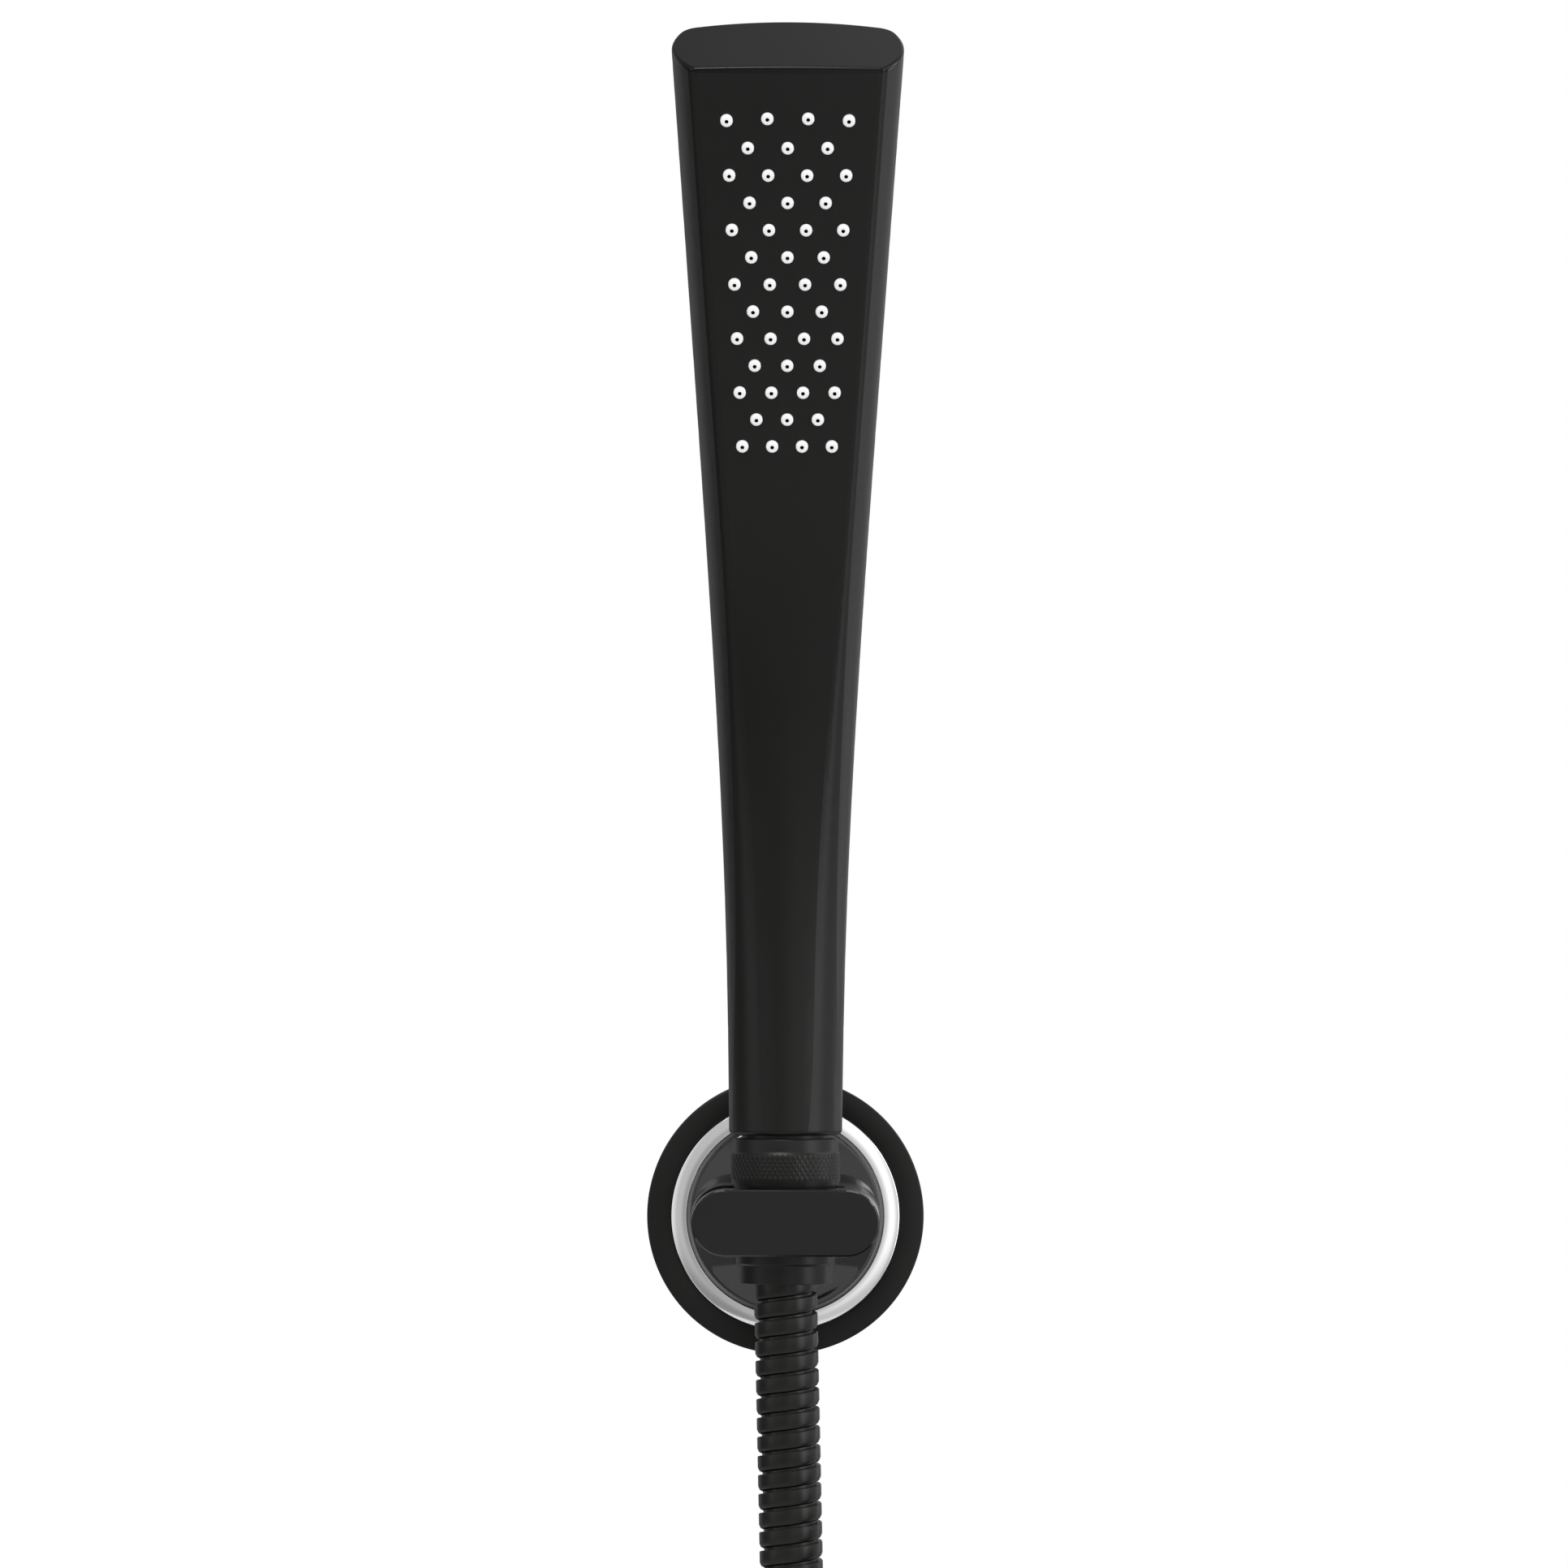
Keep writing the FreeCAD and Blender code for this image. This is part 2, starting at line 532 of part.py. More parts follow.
def make_supply_end():
    base = Vec(COIL_CENTRE_X + COIL_R, COIL_LAST_Y, COIL_CENTRE_Z + TAIL_LEN)
    coil = NODES["hose_coil"]

    def upright(*profile):
        return turned(profile, lambda r, h: base + Vec(r, 0, h), base, Z_AXIS)

    end = END_SLEEVE_LEN
    nut_low, nut_floor, nut_top = end - 2.0, end + 1.5, end + 13.5
    keep("supply_end_sleeve", upright(*tube_profile(STEM_R, SLEEVE_R, 0, end + 1.8)).cut(coil))
    insert = upright((3.5, 0), (STEM_R, 0), (STEM_R, end + 1.8), (INSERT_FLANGE_R, end + 1.8),
                     (INSERT_FLANGE_R, end + 4.0), (3.5, end + 4.0))
    keep("supply_end_insert", insert.cut(coil))
    keep("supply_end_washer", upright(*tube_profile(5.6, INSERT_FLANGE_R, end + 4.0, end + 6.0)))
    nut_r = 12.3
    lip = 0.5
    relief_r = THREAD_BORE_R + 0.4
    relief_top = end + 6.0
    keep("supply_end_nut", upright((NUT_THROAT_R, nut_low), (nut_r - lip, nut_low), (nut_r, nut_low + lip),
                                   (nut_r, nut_top - lip), (nut_r - lip, nut_top), (THREAD_BORE_R, nut_top),
                                   (THREAD_BORE_R, relief_top), (relief_r, relief_top), (relief_r, nut_floor),
                                   (NUT_THROAT_R, nut_floor)))


# ---- handset ----------------------------------------------------------------------------
OUTER_STATIONS = (0, 12, 27, 42, 57, 75, 95, 115, 135, 152, 175, 200, 227, SPINE_LEN)
CAVITY_FOOT = BOSS_LEN
INNER_STATIONS = (CAVITY_FOOT, 30, 42, 57, 75, 95, 115, 135, 152, 175, 200, 227, SPINE_LEN)
POCKET_V = HEAD_T / 2 - WALL_T + 0.2
CHAMBER_LOW_S = SPINE_LEN - FIRST_ROW_FROM_TOP - (NOZZLE_ROWS - 1) * ROW_PITCH - 8.5
CHAMBER_HIGH_S = SPINE_LEN - 6.0
MAT_MARGIN = 6.4
PLATE_BACK_V = POCKET_V - MAT_T - JET_PLATE_T
TUB_BACK_V = -6.4
TUB_WALL = 1.6
TUBE_R = 4.5
TUBE_BORE_R = 3.2
TUBE_SOCKET_R = 4.6            # the connector's upper bore


def make_handset_shell():
    outer = loft([section(s) for s in OUTER_STATIONS])
    cavity = loft([section(s, WALL_T) for s in INNER_STATIONS])
    over = 1.0
    mouth = loft([section(SPINE_LEN, WALL_T), section(SPINE_LEN, WALL_T, SPINE_LEN + over)], True)
    pocket = tapered_panel(CHAMBER_LOW_S - 1, SPINE_LEN + over, MAT_MARGIN - 0.4, 0, POCKET_V)
    inlet_way = nut_turned(*rod_profile(9.4, 0, BODY_FOOT_Z + BOSS_LEN + 1))
    ways = [across_head(s, u, NOZZLE_R + 0.04, 0, HEAD_T) for s, u in nozzle_places()]
    foot_edges = [edge for edge in outer.Edges
                  if max(v.Z for v in edge.Vertexes) < BODY_FOOT_Z + 0.01]
    outer = outer.makeFillet(1.1, foot_edges)
    keep("handset_shell", outer.cut([cavity, mouth, pocket, inlet_way] + ways))


def make_nozzle_mat():
    sheet = tapered_panel(CHAMBER_LOW_S, CHAMBER_HIGH_S, MAT_MARGIN, POCKET_V - MAT_T, POCKET_V)
    tip_v = HEAD_T / 2 + NOZZLE_PROUD
    bars = [across_head(s, u, NOZZLE_R, POCKET_V - 0.5, tip_v) for s, u in nozzle_places()]
    holes = [across_head(s, u, NOZZLE_HOLE_R, PLATE_BACK_V, tip_v + 1) for s, u in nozzle_places()]
    keep("nozzle_mat", sheet.fuse(bars).cut(holes).removeSplitter())
    plate = tapered_panel(CHAMBER_LOW_S, CHAMBER_HIGH_S, MAT_MARGIN, PLATE_BACK_V, POCKET_V - MAT_T)
    jets = [across_head(s, u, 0.7, PLATE_BACK_V - 1, POCKET_V) for s, u in nozzle_places()]
    keep("jet_plate", plate.cut(jets))


def make_chamber():
    groove = 1.0
    seal_out = tapered_panel(CHAMBER_LOW_S + 0.4, CHAMBER_HIGH_S - 0.4, MAT_MARGIN + 0.4,
                             PLATE_BACK_V - groove, PLATE_BACK_V)
    seal_in = tapered_panel(CHAMBER_LOW_S + 1.4, CHAMBER_HIGH_S - 1.4, MAT_MARGIN + 1.4,
                            PLATE_BACK_V - groove - 1, PLATE_BACK_V + 1)
    keep("chamber_seal", seal_out.cut(seal_in))
    tub = tapered_panel(CHAMBER_LOW_S, CHAMBER_HIGH_S, MAT_MARGIN, TUB_BACK_V, PLATE_BACK_V)
    hollow = tapered_panel(CHAMBER_LOW_S + TUB_WALL, CHAMBER_HIGH_S - TUB_WALL, MAT_MARGIN + TUB_WALL,
                           TUB_BACK_V + TUB_WALL, PLATE_BACK_V + 1)
    tube_way = along_spine(TUBE_R, TUBE_FOOT_S, CHAMBER_LOW_S + TUB_WALL + 1)
    keep("cartridge_cover", tub.cut([hollow, seal_out, tube_way]))


def along_spine(r, s_low, s_high):
    """Round bar of radius r that follows the centre line: line, arc, line."""
    bend_top = LOWER_RUN + BEND_LEN
    stations = (s_low, LOWER_RUN, LOWER_RUN + BEND_LEN / 2, bend_top, s_high)
    low, bend_low, middle, bend_high, high = [on_section(s, 0, 0) for s in stations]
    path = Part.Wire([Part.makeLine(low, bend_low), Part.Arc(bend_low, middle, bend_high).toShape(),
                      Part.makeLine(bend_high, high)])
    rim = Part.Wire([Part.makeCircle(r, low, bend_low - low)])
    return path.makePipeShell([rim], True, False)


def ring_on_spine(r_in, r_out, s_low, s_high):
    """Ring about the centre line, where that line is straight."""
    base = on_section(s_low, 0, 0)
    way = on_section(s_high, 0, 0) - base
    outer = Part.makeCylinder(r_out, s_high - s_low, base, way)
    return outer.cut(Part.makeCylinder(r_in, s_high - s_low, base, way))


TUBE_FOOT_S = 14.0
O_RING_SEAT_R = 3.9
FLANGE_R = 6.2


def make_water_tube():
    foot_ring_s = TUBE_FOOT_S + 1.2
    foot_ring = ring_on_spine(O_RING_SEAT_R, TUBE_SOCKET_R, foot_ring_s, foot_ring_s + 1.4)
    flange = ring_on_spine(TUBE_R - 0.5, FLANGE_R, CHAMBER_LOW_S - 3.2, CHAMBER_LOW_S - 1.2)
    top_ring = ring_on_spine(TUBE_R, FLANGE_R - 0.4, CHAMBER_LOW_S - 1.2, CHAMBER_LOW_S)
    top = CHAMBER_LOW_S + TUB_WALL
    body = along_spine(TUBE_R, TUBE_FOOT_S, top).fuse(flange)
    keep("water_tube", body.cut([along_spine(TUBE_BORE_R, TUBE_FOOT_S, top), foot_ring]))
    keep("tube_o_rings", foot_ring, top_ring)


def make_end_cap():
    blank = loft([section(SPINE_LEN), section(SPINE_LEN, 0, SPINE_LEN + CAP_T + 1)], True)
    axis_low = on_section(SPINE_LEN, 0, -HEAD_T) + head_way() * (CAP_T - CAP_CROWN_R)
    axis_high = on_section(SPINE_LEN, 0, HEAD_T) + head_way() * (CAP_T - CAP_CROWN_R)
    crown = Part.makeCylinder(CAP_CROWN_R, 2 * HEAD_T, axis_low, axis_high - axis_low)
    crowned = blank.common(crown)
    crown_edges = [edge for edge in crowned.Edges
                   if min(above_shell(v.Point) for v in edge.Vertexes) > CAP_T / 4]
    rim = crowned.makeFillet(CAP_ROUND_R, crown_edges)
    plug_foot = SPINE_LEN - PLUG_LEN
    seal_top = SPINE_LEN - PLUG_LEN / 2
    plug = taper_ring(seal_top, SPINE_LEN, WALL_T + 0.1)
    nose = taper_ring(plug_foot, seal_top, WALL_T + 1.3)
    keep("end_cap", rim.fuse([plug, nose]))
    keep("end_cap_seal", taper_ring(plug_foot, seal_top, WALL_T + 0.2).cut(nose))


def head_way():
    """Direction of the straight head's centre line."""
    return on_section(SPINE_LEN + 1, 0, 0) - on_section(SPINE_LEN, 0, 0)


def above_shell(point):
    """Height of a point above the shell's open end, along the head."""
    return (point - on_section(SPINE_LEN, 0, 0)).dot(head_way())


def taper_ring(s_low, s_high, inset):
    """Plug of the cavity's own shape between two stations near its mouth."""
    return loft([section(s_low, inset), section(s_high, inset)], True)


def main():
    make_wall_bracket()
    make_rosette()
    make_spindle()
    make_swivel_dome()
    make_holder_arm()
    make_cone_nut()
    make_hose_end()
    make_inlet_connector()
    make_hose()
    make_supply_end()
    make_handset_shell()
    make_nozzle_mat()
    make_chamber()
    make_water_tube()
    make_end_cap()
    os.makedirs("parts", exist_ok=True)
    for name, shape in NODES.items():
        print(name, len(shape.Solids), shape.isValid(), round(shape.Volume, 1))
        shape.exportStep("parts/" + name + ".step")


main()
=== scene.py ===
import math

import bpy
from mathutils import Matrix, Vector


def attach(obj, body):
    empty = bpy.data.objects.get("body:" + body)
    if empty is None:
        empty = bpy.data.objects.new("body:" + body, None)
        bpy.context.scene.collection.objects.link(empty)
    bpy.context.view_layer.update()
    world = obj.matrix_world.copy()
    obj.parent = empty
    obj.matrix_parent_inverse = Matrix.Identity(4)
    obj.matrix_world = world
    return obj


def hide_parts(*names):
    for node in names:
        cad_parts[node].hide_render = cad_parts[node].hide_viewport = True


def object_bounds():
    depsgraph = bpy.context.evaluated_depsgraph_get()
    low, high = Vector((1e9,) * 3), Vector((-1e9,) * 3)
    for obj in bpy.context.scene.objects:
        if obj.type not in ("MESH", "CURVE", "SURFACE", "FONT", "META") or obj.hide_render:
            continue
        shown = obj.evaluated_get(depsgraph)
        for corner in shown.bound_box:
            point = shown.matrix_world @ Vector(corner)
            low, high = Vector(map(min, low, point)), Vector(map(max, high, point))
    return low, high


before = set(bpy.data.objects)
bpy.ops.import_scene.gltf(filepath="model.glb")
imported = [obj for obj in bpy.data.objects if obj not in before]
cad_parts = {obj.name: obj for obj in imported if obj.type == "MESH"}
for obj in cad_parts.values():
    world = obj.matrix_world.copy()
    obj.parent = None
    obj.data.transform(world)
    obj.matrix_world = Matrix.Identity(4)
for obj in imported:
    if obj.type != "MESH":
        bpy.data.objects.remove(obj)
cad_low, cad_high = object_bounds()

MM = 0.001
bpy.ops.object.select_all(action="DESELECT")

# ---------------------------------------------------------------------------------
# Studio: the part hangs in a white studio, above a pale round floor. Soft lamps stand
# in front, to the right, to the left and overhead, and the room around, which the
# chrome and the glossy parts reflect, is unevenly lit.
studio = bpy.context.scene
studio.view_settings.view_transform = "Standard"
studio.view_settings.look = "None"

CAMERA_PLACE = (-0.00052, -3.0, 0.09815)
CAMERA_TURN = (math.radians(90), math.radians(-0.12), 0)
camera_data = bpy.data.cameras.new("camera")
camera_data.sensor_width = 36.0
camera_data.lens = 302.2
camera_data.clip_end = 60.0
camera = bpy.data.objects.new("camera", camera_data)
camera.location = CAMERA_PLACE
camera.rotation_euler = CAMERA_TURN
studio.collection.objects.link(camera)
studio.camera = camera

LAMP_AIM = Vector((0, -0.06, 0.1))


def soft_lamp(name, place, width, height, power):
    """A softbox at that place, facing the middle of the part."""
    lamp_data = bpy.data.lights.new(name, "AREA")
    lamp_data.shape = "RECTANGLE"
    lamp_data.size = width
    lamp_data.size_y = height
    lamp_data.energy = power
    lamp = bpy.data.objects.new(name, lamp_data)
    lamp.location = place
    aim = LAMP_AIM - Vector(place)
    lamp.rotation_euler = aim.to_track_quat("-Z", "Y").to_euler()
    studio.collection.objects.link(lamp)


soft_lamp("lamp_front", (-0.5, -2.0, 2.1), width=1.4, height=0.9, power=40)
soft_lamp("lamp_right", (1.65, -0.85, 0.2), width=0.6, height=2.0, power=5)
soft_lamp("lamp_left", (-1.6, -0.7, 0.3), width=0.8, height=2.0, power=4)
soft_lamp("lamp_top", (0.1, -0.4, 1.9), width=1.6, height=1.0, power=6)

# How bright the room is in each direction. A row gives an axis, two places on it, and
# the brightness up to the first place and from the second one on. The rows multiply.
ROOM_SHADES = (
    ("X", -0.16, 0.12, 0.7, 1.5),        # greyer to the left than to the right
    ("Y", -0.999, -0.965, 0.55, 1.0),    # dim straight in front
    ("Y", 0.0, 0.5, 1.0, 0.5),           # and behind the part
    ("Z", -0.35, -0.05, 0.5, 1.0),       # dimmer below the horizon
    ("Z", 0.5, 0.75, 1.0, 0.6),          # and overhead
    ("Z", -0.75, -0.52, 1.6, 1.0),       # brighter again low down, near the floor
    ("X", -0.85, -0.72, 0.4, 1.0),       # dark at the far left
    ("X", -0.5, -0.38, 1.45, 1.0),       # a pale panel out to the left
    ("X", 0.36, 0.5, 1.0, 0.62),         # dimmer out to the right
    ("X", 0.72, 0.77, 1.0, 5.0),         # one narrow bright strip there
    ("X", 0.82, 0.87, 1.0, 0.28))        # and dim again beyond the strip
room = bpy.data.worlds.new("studio_room")
room.use_nodes = True
studio.world = room
room_nodes = room.node_tree.nodes
room_links = room.node_tree.links
room_nodes.clear()
room_out = room_nodes.new("ShaderNodeOutputWorld")
backdrop = room_nodes.new("ShaderNodeBackground")
backdrop.inputs["Color"].default_value = (1, 1, 1, 1)
backdrop.inputs["Strength"].default_value = 1.0
walls = room_nodes.new("ShaderNodeBackground")
room_pick = room_nodes.new("ShaderNodeMixShader")
room_ray = room_nodes.new("ShaderNodeLightPath")
room_way = room_nodes.new("ShaderNodeTexCoord")
room_axes = room_nodes.new("ShaderNodeSeparateXYZ")
room_links.new(room_way.outputs["Generated"], room_axes.inputs["Vector"])
shade_so_far = None
for axis, start, end, start_shade, end_shade in ROOM_SHADES:
    shade = room_nodes.new("ShaderNodeMapRange")
    shade.interpolation_type = "SMOOTHSTEP"
    shade.inputs["From Min"].default_value = start
    shade.inputs["From Max"].default_value = end
    shade.inputs["To Min"].default_value = start_shade
    shade.inputs["To Max"].default_value = end_shade
    room_links.new(room_axes.outputs[axis], shade.inputs["Value"])
    if shade_so_far is None:
        shade_so_far = shade.outputs["Result"]
        continue
    times = room_nodes.new("ShaderNodeMath")
    times.operation = "MULTIPLY"
    room_links.new(shade_so_far, times.inputs[0])
    room_links.new(shade.outputs["Result"], times.inputs[1])
    shade_so_far = times.outputs["Value"]
room_links.new(shade_so_far, walls.inputs["Strength"])
room_links.new(room_ray.outputs["Is Camera Ray"], room_pick.inputs["Fac"])
room_links.new(walls.outputs["Background"], room_pick.inputs[1])
room_links.new(backdrop.outputs["Background"], room_pick.inputs[2])
room_links.new(room_pick.outputs["Shader"], room_out.inputs["Surface"])

CLOUD_SCALE = 45               # patches of colour and gloss, about 20 mm across
CLOUD_DETAIL = 4
CLOUD_LOW = 0.3
CLOUD_HIGH = 0.7
GLOSS_SPREAD = 0.12
GRAIN_DETAIL = 2
GRAIN_STRENGTH = 0.25


def finish_of(name, colour, roughness, grain, depth, metallic=0.0, mottle=0.12, gleam=0.5):
    """A procedural finish: mottled colour, uneven gloss and a fine surface grain.

    grain is how many specks there are to a metre, depth how deep they are in metres,
    mottle how far the colour varies, and gleam how strongly the surface reflects.
    """
    material = bpy.data.materials.new(name)
    material.use_nodes = True
    nodes = material.node_tree.nodes
    links = material.node_tree.links
    shader = nodes["Principled BSDF"]
    shader.inputs["Metallic"].default_value = metallic
    shader.inputs["Specular IOR Level"].default_value = gleam
    place = nodes.new("ShaderNodeTexCoord")
    cloud = nodes.new("ShaderNodeTexNoise")
    cloud.inputs["Scale"].default_value = CLOUD_SCALE
    cloud.inputs["Detail"].default_value = CLOUD_DETAIL
    links.new(place.outputs["Object"], cloud.inputs["Vector"])
    tint = nodes.new("ShaderNodeValToRGB")
    dark = [c * (1 - mottle) for c in colour] + [1]
    light = [min(c * (1 + mottle), 1) for c in colour] + [1]
    tint.color_ramp.elements[0].color = dark
    tint.color_ramp.elements[1].color = light
    tint.color_ramp.elements[0].position = CLOUD_LOW
    tint.color_ramp.elements[1].position = CLOUD_HIGH
    links.new(cloud.outputs["Fac"], tint.inputs["Fac"])
    links.new(tint.outputs["Color"], shader.inputs["Base Color"])
    gloss = nodes.new("ShaderNodeMapRange")
    gloss.inputs["To Min"].default_value = roughness * (1 - GLOSS_SPREAD)
    gloss.inputs["To Max"].default_value = roughness * (1 + GLOSS_SPREAD)
    links.new(cloud.outputs["Fac"], gloss.inputs["Value"])
    links.new(gloss.outputs["Result"], shader.inputs["Roughness"])
    speck = nodes.new("ShaderNodeTexNoise")
    speck.inputs["Scale"].default_value = grain
    speck.inputs["Detail"].default_value = GRAIN_DETAIL
    links.new(place.outputs["Object"], speck.inputs["Vector"])
    bump = nodes.new("ShaderNodeBump")
    bump.inputs["Strength"].default_value = GRAIN_STRENGTH
    bump.inputs["Distance"].default_value = depth
    links.new(speck.outputs["Fac"], bump.inputs["Height"])
    links.new(bump.outputs["Normal"], shader.inputs["Normal"])
    return material


FLOOR_GAP = 0.012
FLOOR_RADIUS = 0.5
pale_floor = finish_of("pale_floor", (0.7, 0.7, 0.69), 0.7, 60, 0.0005, mottle=0.01)
bpy.ops.mesh.primitive_circle_add(vertices=96, radius=FLOOR_RADIUS, fill_type="NGON",
                                  location=(0, 0, cad_low.z - FLOOR_GAP))
bpy.ops.object.transform_apply(location=True, rotation=True, scale=True)
floor = bpy.context.object
floor.name = "floor"
floor.data.materials.append(pale_floor)

# ---------------------------------------------------------------------------------
# Wall bracket: a pressed and zinc-plated steel disc, screwed to the wall through its
# two holes, on a black rubber gasket ring that keeps water from behind the rosette.
zinc_steel = finish_of("zinc_steel", (0.5, 0.5, 0.52), 0.32, 1500, 0.00001, metallic=1.0)
black_rubber = finish_of("black_rubber", (0.02, 0.02, 0.02), 0.7, 1600, 0.00003)


def give(material, *node_names):
    """Put one finish on carried-over parts."""
    for node_name in node_names:
        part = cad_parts[node_name]
        part.data.materials.clear()
        part.data.materials.append(material)


give(zinc_steel, "wall_bracket")
give(black_rubber, "wall_gasket")

# ---------------------------------------------------------------------------------
# Rosette: the round cover of the wall mount, die-cast and powder-coated satin black.
# It snaps over the bracket and one grub screw from below holds it.
satin_coat = finish_of("satin_coat", (0.0045, 0.0045, 0.004), 0.36, 3200, 0.00002, gleam=0.27)
ROSETTE_R = 31.45
ROSETTE_SKIN_R = 29.85
ROSETTE_FRONT = 8.0
ROSETTE_FACE_BACK = 6.0
ROSETTE_EDGE_BACK = 1.0
RING_R = 25.95
RING_BORE_R = 22.35
RING_SEAT = 7.2
OFF_WALL = Matrix.Rotation(math.radians(90), 4, "X")
MERGE_GAP = 0.000002           # metres
BEVEL_FROM = math.radians(25)
SMOOTH_TO = math.radians(38)


def turned_piece(name, outline, place, edge_round, segments):
    """A turned ring: a circle drawn out along a closed outline of (radius, height) in mm."""
    first_r, first_h = outline[0]
    bpy.ops.object.select_all(action="DESELECT")
    bpy.ops.mesh.primitive_circle_add(vertices=segments, radius=first_r * MM,
                                      location=(0, 0, first_h * MM))
    piece = bpy.context.object
    piece.name = name
    bpy.ops.object.transform_apply(location=True, rotation=True, scale=True)
    bpy.ops.object.mode_set(mode="EDIT")
    bpy.ops.mesh.select_all(action="SELECT")
    r, h = first_r, first_h
    for next_r, next_h in list(outline[1:]) + [outline[0]]:
        bpy.ops.mesh.extrude_region_move(
            TRANSFORM_OT_translate={"value": (0, 0, (next_h - h) * MM)})
        bpy.ops.transform.resize(value=(next_r / r, next_r / r, 1),
                                 center_override=(0, 0, next_h * MM))
        r, h = next_r, next_h
    bpy.ops.mesh.select_all(action="SELECT")
    bpy.ops.mesh.remove_doubles(threshold=MERGE_GAP)
    bpy.ops.mesh.normals_make_consistent(inside=False)
    bpy.ops.object.mode_set(mode="OBJECT")
    bevel = piece.modifiers.new("edge_round", "BEVEL")
    bevel.width = edge_round * MM
    bevel.segments = 3
    bevel.limit_method = "ANGLE"
    bevel.angle_limit = BEVEL_FROM
    bpy.ops.object.modifier_apply(modifier="edge_round")
    piece.matrix_world = place
    bpy.ops.object.transform_apply(location=True, rotation=True, scale=True)
    bpy.ops.object.shade_smooth_by_angle(angle=SMOOTH_TO)
    return piece


rosette = turned_piece("rosette_cover", (
    (RING_BORE_R, ROSETTE_FACE_BACK), (ROSETTE_SKIN_R, ROSETTE_FACE_BACK),
    (ROSETTE_SKIN_R, ROSETTE_EDGE_BACK), (ROSETTE_R, ROSETTE_EDGE_BACK),
    (ROSETTE_R, ROSETTE_FRONT), (RING_R, ROSETTE_FRONT), (RING_R, RING_SEAT),
    (RING_BORE_R, RING_SEAT)), OFF_WALL, edge_round=0.35, segments=192)
rosette.data.materials.append(satin_coat)
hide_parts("rosette")
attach(rosette, "wall_mount")
give(zinc_steel, "rosette_grub_screw")

# ---------------------------------------------------------------------------------
# Chrome ring: a polished brass ring, chrome-plated, pressed into the rosette's seat.
# Its face is turned slightly conical, so that it falls away towards its outer edge.
RING_FRONT = 9.0
RING_FALL = 0.55
chrome_plate = finish_of("chrome_plate", (0.86, 0.86, 0.87), 0.1, 900, 0.000002,
                         metallic=1.0, mottle=0.01)
chrome_ring = turned_piece("trim_ring", (
    (RING_BORE_R, RING_SEAT), (RING_R, RING_SEAT), (RING_R, RING_FRONT - RING_FALL),
    (RING_BORE_R, RING_FRONT)), OFF_WALL, edge_round=0.2, segments=192)
chrome_ring.data.materials.append(chrome_plate)
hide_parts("chrome_ring")
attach(chrome_ring, "wall_mount")

# ---------------------------------------------------------------------------------
# Spindle: the turned steel pin that the holder swivels on, pressed into the bracket,
# with a rubber O-ring that gives the swivel its friction.
give(zinc_steel, "spindle")
give(black_rubber, "friction_o_ring")

# ---------------------------------------------------------------------------------
# Swivel dome: the round glossy base of the holder, moulded in black ABS and polished,
# domed in front, with a small rounded rim inside the chrome ring.
gloss_black = finish_of("gloss_black", (0.004, 0.004, 0.004), 0.06, 700, 0.000002, gleam=0.8)
DOME_R = 21.55
DOME_RIM_BACK = 7.0
DOME_RIM_FRONT = 9.0
DOME_LIP_R = 21.05
DOME_FRONT = 14.0
DOME_SEAM_R = 5.55
DOME_STEPS = 16
dome_rise = DOME_FRONT - DOME_RIM_FRONT
dome_ball_r = (DOME_LIP_R ** 2 + dome_rise ** 2) / (2 * dome_rise)
dome_outline = [(DOME_SEAM_R, DOME_RIM_BACK), (DOME_R, DOME_RIM_BACK), (DOME_R, DOME_RIM_FRONT)]
for step in range(DOME_STEPS + 1):
    dome_r = DOME_LIP_R + (DOME_SEAM_R - DOME_LIP_R) * step / DOME_STEPS
    dome_h = DOME_FRONT - dome_ball_r + math.sqrt(dome_ball_r ** 2 - dome_r ** 2)
    dome_outline.append((dome_r, dome_h))
swivel_dome = turned_piece("dome_base", dome_outline, OFF_WALL, edge_round=0.3, segments=192)
swivel_dome.data.materials.append(gloss_black)
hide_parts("swivel_dome")
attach(swivel_dome, "holder")

# ---------------------------------------------------------------------------------
# Holder arm: a solid moulded arm with a pill-shaped front, lacquered on its sides, with
# a satin front face. Two screws from behind join it to the dome, and a third from below
# runs in the spindle's groove. Its seat is lined with a pressed-in satin sleeve.
SATIN_FACE_Y = -0.05993
SIDE_ROUGHNESS = 0.1
FACE_ROUGHNESS = 0.34
LACQUER_ROUGHNESS = 0.14
LACQUER_IOR = 1.45
holder_gloss = finish_of("holder_gloss", (0.003, 0.003, 0.003), SIDE_ROUGHNESS, 700, 0.000002,
                         gleam=0.35)
holder_nodes = holder_gloss.node_tree.nodes
holder_links = holder_gloss.node_tree.links
holder_shader = holder_nodes["Principled BSDF"]
holder_place = holder_nodes.new("ShaderNodeTexCoord")
holder_axes = holder_nodes.new("ShaderNodeSeparateXYZ")
front_face = holder_nodes.new("ShaderNodeMath")
front_face.operation = "LESS_THAN"
front_face.inputs[1].default_value = SATIN_FACE_Y
holder_links.new(holder_place.outputs["Object"], holder_axes.inputs["Vector"])
holder_links.new(holder_axes.outputs["Y"], front_face.inputs[0])
face_gloss = holder_nodes.new("ShaderNodeMapRange")
face_gloss.inputs["To Min"].default_value = SIDE_ROUGHNESS
face_gloss.inputs["To Max"].default_value = FACE_ROUGHNESS
holder_links.new(front_face.outputs["Value"], face_gloss.inputs["Value"])
holder_links.new(face_gloss.outputs["Result"], holder_shader.inputs["Roughness"])
lacquer = holder_nodes.new("ShaderNodeMath")
lacquer.operation = "SUBTRACT"
lacquer.inputs[0].default_value = 1.0
holder_links.new(front_face.outputs["Value"], lacquer.inputs[1])
holder_links.new(lacquer.outputs["Value"], holder_shader.inputs["Coat Weight"])
holder_shader.inputs["Coat Roughness"].default_value = LACQUER_ROUGHNESS
